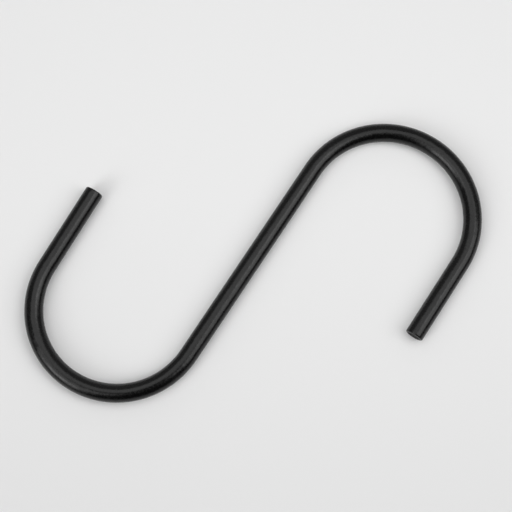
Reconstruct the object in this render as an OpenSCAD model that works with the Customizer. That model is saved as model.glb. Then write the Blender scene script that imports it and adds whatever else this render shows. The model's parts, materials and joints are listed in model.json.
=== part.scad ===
// S hook: one length of round rod, bent into two open hooks that face opposite ways.
// It lies flat, with the S in the XY plane and the straight shank along Y. The rod rests
// on Z = 0, and the origin is under the middle of the outline.

/* [Rod] */
// diameter of the round rod
rod_d = 6; // [4:0.25:8]
// radius of the rounded rim at the two cut ends
rim_r = 0.5; // [0.1:0.1:1.5]

/* [Overall] */
// length over the outsides of the two bends
overall_l = 133.6; // [110:0.1:200]

/* [Upper hook] */
// clear width between the leg and the shank
upper_gap_w = 50.4; // [30:0.1:62]
// straight leg after the bend, parallel to the shank
upper_leg_l = 28.1; // [5:0.1:40]

/* [Lower hook] */
// clear width across the bend, where the shank enters it
lower_gap_w = 47.8; // [30:0.1:62]
// angle by which the leg leans out from the line of the shank
lower_lean = 2.6; // [-10:0.1:10]
// straight leg after the bend
lower_leg_l = 28.7; // [5:0.1:40]

/* [Hidden] */
$fn = 60;
coat = [0.05, 0.05, 0.055];
rod_r = rod_d / 2;
// radii of the rod's centre line in the two bends
upper_bend_r = upper_gap_w / 2 + rod_r;
lower_bend_r = lower_gap_w / 2 + rod_r;
// straight shank that is left between the bends
shank_l = overall_l - upper_bend_r - lower_bend_r - rod_d;
// how far the outline reaches to each side of the lower bend's centre
lower_tip_reach = (lower_bend_r + rod_r - rim_r) * cos(lower_lean)
    + (lower_leg_l - rim_r) * sin(lower_lean) + rim_r;
left_reach = max(lower_bend_r + rod_r, lower_tip_reach);
right_reach = lower_bend_r + 2 * upper_bend_r + rod_r;

// straight rod from the origin along +Y, square at both ends
module straight(length) {
    rotate([-90, 0, 0])
        cylinder(h = length, r = rod_r);
}

// straight rod from the origin along +Y, with a rounded rim at its far end
module leg(length) {
    rotate([-90, 0, 0])
        rotate_extrude() {
            square([rod_r, length - rim_r]);
            translate([0, length - rim_r])
                square([rod_r - rim_r, rim_r]);
            translate([rod_r - rim_r, length - rim_r])
                intersection() {
                    circle(r = rim_r);
                    square(rim_r);
                }
        }
}

// a ring cut off square on both sides, which leaves a U that opens to +Y
// each side of the U leans out from +Y by half of lean
module bend(bend_r, lean) {
    ring_reach = bend_r + rod_d;
    difference() {
        rotate(90 + lean / 2)
            rotate_extrude()
                translate([bend_r, 0])
                    circle(r = rod_r);
        for (side = [-1, 1])
            rotate(side * lean / 2)
                translate([-side * bend_r, ring_reach, 0])
                    cube([2 * ring_reach, 2 * ring_reach, 2 * rod_d], center = true);
    }
}

// the upper hook, from the top of the shank at the origin
module upper_hook() {
    translate([upper_bend_r, 0, 0])
        rotate(180) {
            bend(upper_bend_r, 0);
            translate([-upper_bend_r, 0, 0])
                leg(upper_leg_l);
        }
}

module hook() {
    color(coat)
        translate([(left_reach - right_reach) / 2, lower_bend_r + rod_r - overall_l / 2, rod_r])
            rotate(lower_lean / 2) {
                bend(lower_bend_r, lower_lean);
                rotate(lower_lean / 2)
                    translate([-lower_bend_r, 0, 0])
                        leg(lower_leg_l);
                rotate(-lower_lean / 2)
                    translate([lower_bend_r, 0, 0]) {
                        straight(shank_l);
                        translate([0, shank_l, 0])
                            upper_hook();
                    }
            }
}

hook();
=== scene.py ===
"""An S hook of round rod with a satin black powder coat, lying on a pale floor."""
import json
import math
import bpy
from collections import namedtuple
from mathutils import Matrix, Vector
from mathutils import noise as field


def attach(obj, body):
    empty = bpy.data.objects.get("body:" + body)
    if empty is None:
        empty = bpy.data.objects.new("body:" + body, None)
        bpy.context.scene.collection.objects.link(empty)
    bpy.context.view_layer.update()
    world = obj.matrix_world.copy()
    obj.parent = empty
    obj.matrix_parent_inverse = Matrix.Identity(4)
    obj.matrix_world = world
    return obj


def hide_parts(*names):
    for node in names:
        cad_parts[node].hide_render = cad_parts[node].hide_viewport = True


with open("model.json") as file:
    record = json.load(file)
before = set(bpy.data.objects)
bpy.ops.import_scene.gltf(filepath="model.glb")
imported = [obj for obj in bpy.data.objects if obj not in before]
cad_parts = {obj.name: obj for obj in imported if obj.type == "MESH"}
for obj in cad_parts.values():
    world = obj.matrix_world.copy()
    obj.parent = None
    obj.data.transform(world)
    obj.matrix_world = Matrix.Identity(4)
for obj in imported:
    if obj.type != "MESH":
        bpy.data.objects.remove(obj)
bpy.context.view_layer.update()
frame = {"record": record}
MOUNTS = {row["name"]: row for row in frame["record"]["mounts"]}

# the rod's mesh: corners round it, length of its quads and radius of its rounded rims in metres,
# and how many rings go over each rim and each cut face
SIDES = 72
RING_STEP = 0.0009
RIM_R = 0.0005
RIM_STEPS = 8
FACE_STEPS = 14
# share is 0 on the wall and the rims, and rises over a cut face to 1 in its middle
Ring = namedtuple("Ring", "centre tangent radius outward share")

# the cut faces, in metres: how deep they dish, how uneven they are, and the size of a hollow
DISH_DEPTH = 0.00006
UNEVEN_DEPTH = 0.00010
UNEVEN_SIZE = 0.0013
# the cut faces' extra roughness, and the share from which it is there in full
CUT_ROUGHER = 0.50
CUT_FULL = 0.25
CUT_ATTRIBUTE = "cut_face"

# the coat's patterns: size of a feature in metres, levels of finer detail, and seed
SPECKS = (0.0005, 1, 1.0)
PATCHES = (0.0008, 2, 5.0)
PEEL = (0.003, 2, 9.0)
GRAIN = (0.0006, 2, 13.0)
# the specks' colour and the patches' roughness: the part of the pattern used, and the values made
SPECK_REACH = (0.45, 0.72)
SPECK_GREYS = (0.0002, 0.0012)
PATCH_REACH = (0.35, 0.65)
PATCH_ROUGHNESS = (0.20, 0.30)
# how high the orange peel and the grain stand, in metres
PEEL_HEIGHT = 0.00010
GRAIN_HEIGHT = 0.000015
COAT_IOR = 1.40

# camera: degrees round the hook from -Y and above the horizon, degrees that its picture is turned
# clockwise, metres from the point it looks at, and lens and sensor in millimetres
CAMERA_AZIMUTH = 28.97
CAMERA_ELEVATION = 78.79
CAMERA_ROLL = 4.42
CAMERA_DISTANCE = 0.4073
CAMERA_LENS = 89.04
CAMERA_SENSOR = 36
CAMERA_TARGET = Vector((-0.00041, 0.00152, 0.003))

FLOOR_RADIUS = 6.0
FLOOR_CORNERS = 96
FLOOR_ROUGHNESS = 0.9
# painted shade: the paper's colour darkens a little along this direction, from one reach in metres to
# the other, as the light falling off across the floor would make it
PAINTED_SHADE_WAY = (0.549, -0.836, 0)
PAINTED_SHADE_REACH = (-0.02, 0.082)
PAINTED_SHADE = (0.824, 0.784)
# between these distances from the middle, what is seen of the paper turns into one even colour
FLOOR_FADE = (0.12, 0.34)
FAR_COLOUR = (0.82, 0.82, 0.82, 1)

# the room grows brighter along this direction, from one reach of a unit vector to the other
ROOM_WAY = (-0.5491, 0.8357, 0)
ROOM_REACH = (-0.497, 0.984)
ROOM_LEVELS = (0.069, 0.418)
# a faint glow, in full at the horizon and below, and gone where a unit vector is this high
GLOW_LEVEL = 0.3
GLOW_HEIGHT = 0.03


def mount(name):
    """A mount's position, axis, radius and length, in metres."""
    row = MOUNTS[name]
    axis = Vector(row["axis"]).normalized()
    return Vector(row["pos_m"]), axis, row["dims"]["r_mm"] / 1000, row["dims"]["length_mm"] / 1000


def line(start, end):
    """Points and tangents of a straight stretch, without its last point."""
    count = max(1, round((end - start).length / RING_STEP))
    tangent = (end - start).normalized()
    return [(start.lerp(end, i / count), tangent) for i in range(count)]


def arc(centre, radius, start, end):
    """Points and tangents of a bend in the XY plane, without its last point."""
    count = round(radius * abs(end - start) / RING_STEP)
    sense = math.copysign(1, end - start)
    out = []
    for i in range(count):
        angle = start + (end - start) * i / count
        spoke = Vector((math.cos(angle), math.sin(angle), 0))
        out.append((centre + spoke * radius, Vector((-spoke.y, spoke.x, 0)) * sense))
    return out


def centre_line():
    """The rod's middle from the lower tip to the upper one, up to where the rims begin."""
    low_seat, low_way, low_r, _ = mount("load_seat")
    top_seat, top_way, top_r, _ = mount("rail_seat")
    low_leg, low_axis, rod_r, low_l = mount("lower_tip")
    top_leg, top_axis, _, top_l = mount("upper_tip")
    low_centre = low_seat + low_way * low_r
    top_centre = top_seat + top_way * top_r
    low_bend = low_r + rod_r
    top_bend = top_r + rod_r
    side = Vector((1, 0, 0))
    low_turn = math.pi + math.atan2(-low_axis.x, low_axis.y)
    low_start = low_centre + Vector((math.cos(low_turn), math.sin(low_turn), 0)) * low_bend
    top_end = top_leg + top_axis * top_l / 2
    path = line(low_leg + low_axis * low_l / 2, low_start)
    path += arc(low_centre, low_bend, low_turn, 2 * math.pi)
    path += line(low_centre + side * low_bend, top_centre - side * top_bend)
    path += arc(top_centre, top_bend, math.pi, 0)
    path += line(top_centre + side * top_bend, top_end)
    path.append((top_end, top_axis))
    return path, rod_r


def sunk(position, outward, share):
    """A point of a cut face, moved in by the face's dish and its unevenness."""
    uneven = 0.5 + 0.5 * field.noise(position / UNEVEN_SIZE)
    return position - outward * share * (DISH_DEPTH * share + UNEVEN_DEPTH * uneven)


def end_rings(point, tangent, outward, rod_r):
    """Rings from the end of the straight wall over the rim and the cut face to near its middle."""
    rings = []
    for i in range(1, RIM_STEPS + 1):
        angle = math.pi / 2 * i / RIM_STEPS
        centre = point + outward * RIM_R * math.sin(angle)
        rings.append(Ring(centre, tangent, rod_r - RIM_R * (1 - math.cos(angle)), outward, 0))
    face = point + outward * RIM_R
    face_r = rod_r - RIM_R
    for i in range(1, FACE_STEPS):
        share = i / FACE_STEPS
        rings.append(Ring(face, tangent, face_r * (1 - share), outward, share))
    return rings


def ring_points(ring):
    """The points of one ring, those on a cut face sunk in."""
    side = Vector((-ring.tangent.y, ring.tangent.x, 0))
    points = []
    for k in range(SIDES):
        angle = 2 * math.pi * k / SIDES
        spoke = side * math.cos(angle) + Vector((0, 0, math.sin(angle)))
        points.append(sunk(ring.centre + spoke * ring.radius, ring.outward, ring.share))
    return points


def skin_faces(ring_count):
    """Quads from each ring to the next."""
    faces = []
    for i in range(ring_count - 1):
        low, high = i * SIDES, (i + 1) * SIDES
        for k in range(SIDES):
            n = (k + 1) % SIDES
            faces.append((low + k, low + n, high + n, high + k))
    return faces


def middle_faces(ring_count):
    """A fan of triangles at each end, to the two middle points, which follow the rings' points."""
    first_middle = ring_count * SIDES
    last_ring = first_middle - SIDES
    faces = []
    for k in range(SIDES):
        n = (k + 1) % SIDES
        faces.append((first_middle, n, k))
        faces.append((first_middle + 1, last_ring + k, last_ring + n))
    return faces


def rod_piece():
    """The whole rod as one closed skin of quads, with a fan of triangles at each end's middle."""
    path, rod_r = centre_line()
    (first, first_way), (last, last_way) = path[0], path[-1]
    start = end_rings(first, first_way, -first_way, rod_r)
    end = end_rings(last, last_way, last_way, rod_r)
    wall = [Ring(point, tangent, rod_r, tangent, 0) for point, tangent in path]
    rings = start[::-1] + wall + end
    verts = [point for ring in rings for point in ring_points(ring)]
    verts += [sunk(ring.centre, ring.outward, 1) for ring in (start[-1], end[-1])]
    mesh = bpy.data.meshes.new("hook_rod")
    mesh.from_pydata(verts, [], skin_faces(len(rings)) + middle_faces(len(rings)))
    mesh.polygons.foreach_set("use_smooth", [True] * len(mesh.polygons))
    cut = mesh.attributes.new(CUT_ATTRIBUTE, "FLOAT", "POINT")
    levels = [min(1.0, ring.share / CUT_FULL) for ring in rings for _ in range(SIDES)]
    cut.data.foreach_set("value", levels + [1.0, 1.0])
    mesh.validate()
    piece = bpy.data.objects.new("hook_rod", mesh)
    bpy.context.scene.collection.objects.link(piece)
    return piece


def new_material(name):
    """A new node material, with its node tree and its Principled shader."""
    material = bpy.data.materials.new(name)
    material.use_nodes = True
    tree = material.node_tree
    return material, tree, tree.nodes["Principled BSDF"]


def noise_node(tree, position, size, detail, seed):
    """Noise whose features are about this many metres across."""
    node = tree.nodes.new("ShaderNodeTexNoise")
    node.noise_dimensions = "4D"
    node.inputs["W"].default_value = seed
    node.inputs["Scale"].default_value = 1 / size
    node.inputs["Detail"].default_value = detail
    tree.links.new(position, node.inputs["Vector"])
    return node.outputs["Fac"]


def spread(tree, value, low, high, out_low, out_high):
    """Maps low..high of a value to out_low..out_high."""
    node = tree.nodes.new("ShaderNodeMapRange")
    node.inputs["From Min"].default_value = low
    node.inputs["From Max"].default_value = high
    node.inputs["To Min"].default_value = out_low
    node.inputs["To Max"].default_value = out_high
    tree.links.new(value, node.inputs["Value"])
    return node.outputs["Result"]


def math_node(tree, operation, a, b):
    """One Math node on two values."""
    node = tree.nodes.new("ShaderNodeMath")
    node.operation = operation
    tree.links.new(a, node.inputs[0])
    tree.links.new(b, node.inputs[1])
    return node.outputs["Value"]


def reach_node(tree, vector, way):
    """How far a vector reaches along a direction."""
    node = tree.nodes.new("ShaderNodeVectorMath")
    node.operation = "DOT_PRODUCT"
    node.inputs[1].default_value = way
    tree.links.new(vector, node.inputs[0])
    return node.outputs["Value"]


def coat_material():
    """Satin black powder coat, finely speckled, with orange peel, and rougher on the cut faces."""
    material, tree, shader = new_material("black_coat")
    position = tree.nodes.new("ShaderNodeTexCoord").outputs["Object"]
    specks = noise_node(tree, position, *SPECKS)
    grey = spread(tree, specks, *SPECK_REACH, *SPECK_GREYS)
    tree.links.new(grey, shader.inputs["Base Color"])
    patches = noise_node(tree, position, *PATCHES)
    cut = tree.nodes.new("ShaderNodeAttribute")
    cut.attribute_name = CUT_ATTRIBUTE
    rough = math_node(
        tree, "ADD",
        spread(tree, patches, *PATCH_REACH, *PATCH_ROUGHNESS),
        spread(tree, cut.outputs["Fac"], 0, 1, 0, CUT_ROUGHER))
    tree.links.new(rough, shader.inputs["Roughness"])
    peel = noise_node(tree, position, *PEEL)
    grain = noise_node(tree, position, *GRAIN)
    height = math_node(
        tree, "ADD",
        spread(tree, peel, 0, 1, 0, PEEL_HEIGHT),
        spread(tree, grain, 0, 1, 0, GRAIN_HEIGHT))
    bump = tree.nodes.new("ShaderNodeBump")
    bump.inputs["Distance"].default_value = 1.0
    tree.links.new(height, bump.inputs["Height"])
    tree.links.new(bump.outputs["Normal"], shader.inputs["Normal"])
    shader.inputs["IOR"].default_value = COAT_IOR
    return material


def seen_node(tree):
    """1 for camera, glossy and transmission rays, and 0 for all others."""
    rays = tree.nodes.new("ShaderNodeLightPath").outputs
    seen = math_node(tree, "MAXIMUM", rays["Is Camera Ray"], rays["Is Glossy Ray"])
    return math_node(tree, "MAXIMUM", seen, rays["Is Transmission Ray"])


def floor_material():
    """Matt pale paper, its colour darkened a little along one direction as painted shade. Far from the
    hook, what sees it directly or mirrored sees one even colour.
    """
    material, tree, shader = new_material("floor_paper")
    shader.inputs["Roughness"].default_value = FLOOR_ROUGHNESS
    shader.inputs["Specular IOR Level"].default_value = 0.0
    position = tree.nodes.new("ShaderNodeTexCoord").outputs["Object"]
    # painted shade: the paper's colour is darker along one direction, where the light falls off
    painted_shade = spread(tree, reach_node(tree, position, PAINTED_SHADE_WAY), *PAINTED_SHADE_REACH, *PAINTED_SHADE)
    tree.links.new(painted_shade, shader.inputs["Base Color"])
    distance = tree.nodes.new("ShaderNodeVectorMath")
    distance.operation = "LENGTH"
    tree.links.new(position, distance.inputs[0])
    far = spread(tree, distance.outputs["Value"], *FLOOR_FADE, 0, 1)
    seen = seen_node(tree)
    pale = tree.nodes.new("ShaderNodeEmission")
    pale.inputs["Color"].default_value = FAR_COLOUR
    mix = tree.nodes.new("ShaderNodeMixShader")
    tree.links.new(math_node(tree, "MULTIPLY", far, seen), mix.inputs["Fac"])
    tree.links.new(shader.outputs["BSDF"], mix.inputs[1])
    tree.links.new(pale.outputs["Emission"], mix.inputs[2])
    tree.links.new(mix.outputs["Shader"], tree.nodes["Material Output"].inputs["Surface"])
    return material


def make_floor():
    """A wide flat disc that the rod lies on."""
    bpy.ops.mesh.primitive_circle_add(
        vertices=FLOOR_CORNERS, radius=FLOOR_RADIUS, fill_type="NGON")
    floor = bpy.context.object
    floor.name = "floor"
    floor.data.materials.append(floor_material())


def direction(tilt, azimuth):
    """Unit vector at these degrees from straight up, and these degrees round from +X."""
    t, a = math.radians(tilt), math.radians(azimuth)
    return Vector((math.sin(t) * math.cos(a), math.sin(t) * math.sin(a), math.cos(t)))


def softbox(name, tilt, azimuth, distance, across, along, brightness):
    """A rectangular lamp that faces the hook, its sides given as angles seen from there."""
    lamp = bpy.data.lights.new(name, "AREA")
    lamp.shape = "RECTANGLE"
    lamp.size = 2 * distance * math.tan(math.radians(across / 2))
    lamp.size_y = 2 * distance * math.tan(math.radians(along / 2))
    lamp.energy = math.pi * lamp.size * lamp.size_y * brightness
    ob = bpy.data.objects.new(name, lamp)
    bpy.context.scene.collection.objects.link(ob)
    away = direction(tilt, azimuth)
    ob.location = away * distance
    ob.rotation_mode = "QUATERNION"
    ob.rotation_quaternion = away.to_track_quat("Z", "Y")


def make_world():
    """A dim room, brighter on one side, with a faint, thin glow along the horizon."""
    world = bpy.data.worlds.new("room")
    bpy.context.scene.world = world
    world.use_nodes = True
    tree = world.node_tree
    way = tree.nodes.new("ShaderNodeTexCoord").outputs["Generated"]
    side = spread(tree, reach_node(tree, way, ROOM_WAY), *ROOM_REACH, *ROOM_LEVELS)
    height = tree.nodes.new("ShaderNodeSeparateXYZ")
    tree.links.new(way, height.inputs["Vector"])
    glow = spread(tree, height.outputs["Z"], 0.0, GLOW_HEIGHT, GLOW_LEVEL, 0.0)
    total = math_node(tree, "ADD", side, glow)
    tree.links.new(total, tree.nodes["Background"].inputs["Color"])


def make_camera():
    """The photographed view: nearly straight down, turned round the hook."""
    data = bpy.data.cameras.new("camera")
    data.lens = CAMERA_LENS
    data.sensor_width = CAMERA_SENSOR
    camera = bpy.data.objects.new("camera", data)
    bpy.context.scene.collection.objects.link(camera)
    away = direction(90 - CAMERA_ELEVATION, CAMERA_AZIMUTH - 90)
    aim = (-away).to_track_quat("-Z", "Y").to_matrix().to_4x4()
    roll = Matrix.Rotation(math.radians(CAMERA_ROLL), 4, "Z")
    camera.matrix_world = Matrix.Translation(CAMERA_TARGET + away * CAMERA_DISTANCE) @ aim @ roll
    bpy.context.scene.camera = camera


rod = rod_piece()
rod.data.materials.append(coat_material())
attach(rod, "root")
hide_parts("hook")
make_floor()
softbox("key_light", tilt=42.3, azimuth=20.6, distance=1.84, across=37.1, along=41.6, brightness=2.35)
softbox("fill_light", tilt=47.8, azimuth=-108.7, distance=3.33, across=37.5, along=58.3, brightness=1.67)
softbox("top_light", tilt=9.8, azimuth=120.3, distance=0.38, across=71.8, along=38.4, brightness=1.34)
softbox("low_light", tilt=56.7, azimuth=-108.4, distance=3.29, across=18.7, along=21.0, brightness=2.89)
make_world()
make_camera()
bpy.context.scene.view_settings.view_transform = "Standard"
